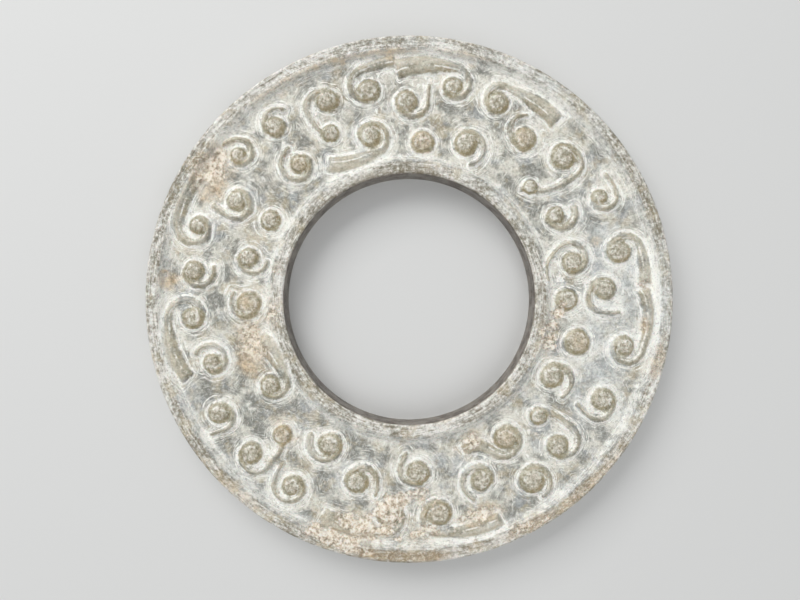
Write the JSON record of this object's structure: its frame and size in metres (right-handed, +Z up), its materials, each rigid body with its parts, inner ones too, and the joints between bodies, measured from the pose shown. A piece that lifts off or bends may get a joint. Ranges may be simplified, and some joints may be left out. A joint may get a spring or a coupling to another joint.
{
  "type": "jade huan disc",
  "caption": "Flat jade ring with a wide bore, raised plain rims at both edges and a sunk field of carved comma curls; lies flat or hangs on a cord.",
  "frame": {"origin": "middle of the underside, on the axis of the bore", "axes": "+Z up along the axis of the bore, out of the carved upper face; +X and +Y in the plane of the disc, with the gap between the two longest upper tails towards +Y"},
  "size_m": [0.08, 0.08, 0.005],
  "materials": {
    "jade": "polished, with pale residue round the carving and crusted patches"
  },
  "bodies": {
    "root": {"huan_disc": "jade"}
  },
  "joints": []
}
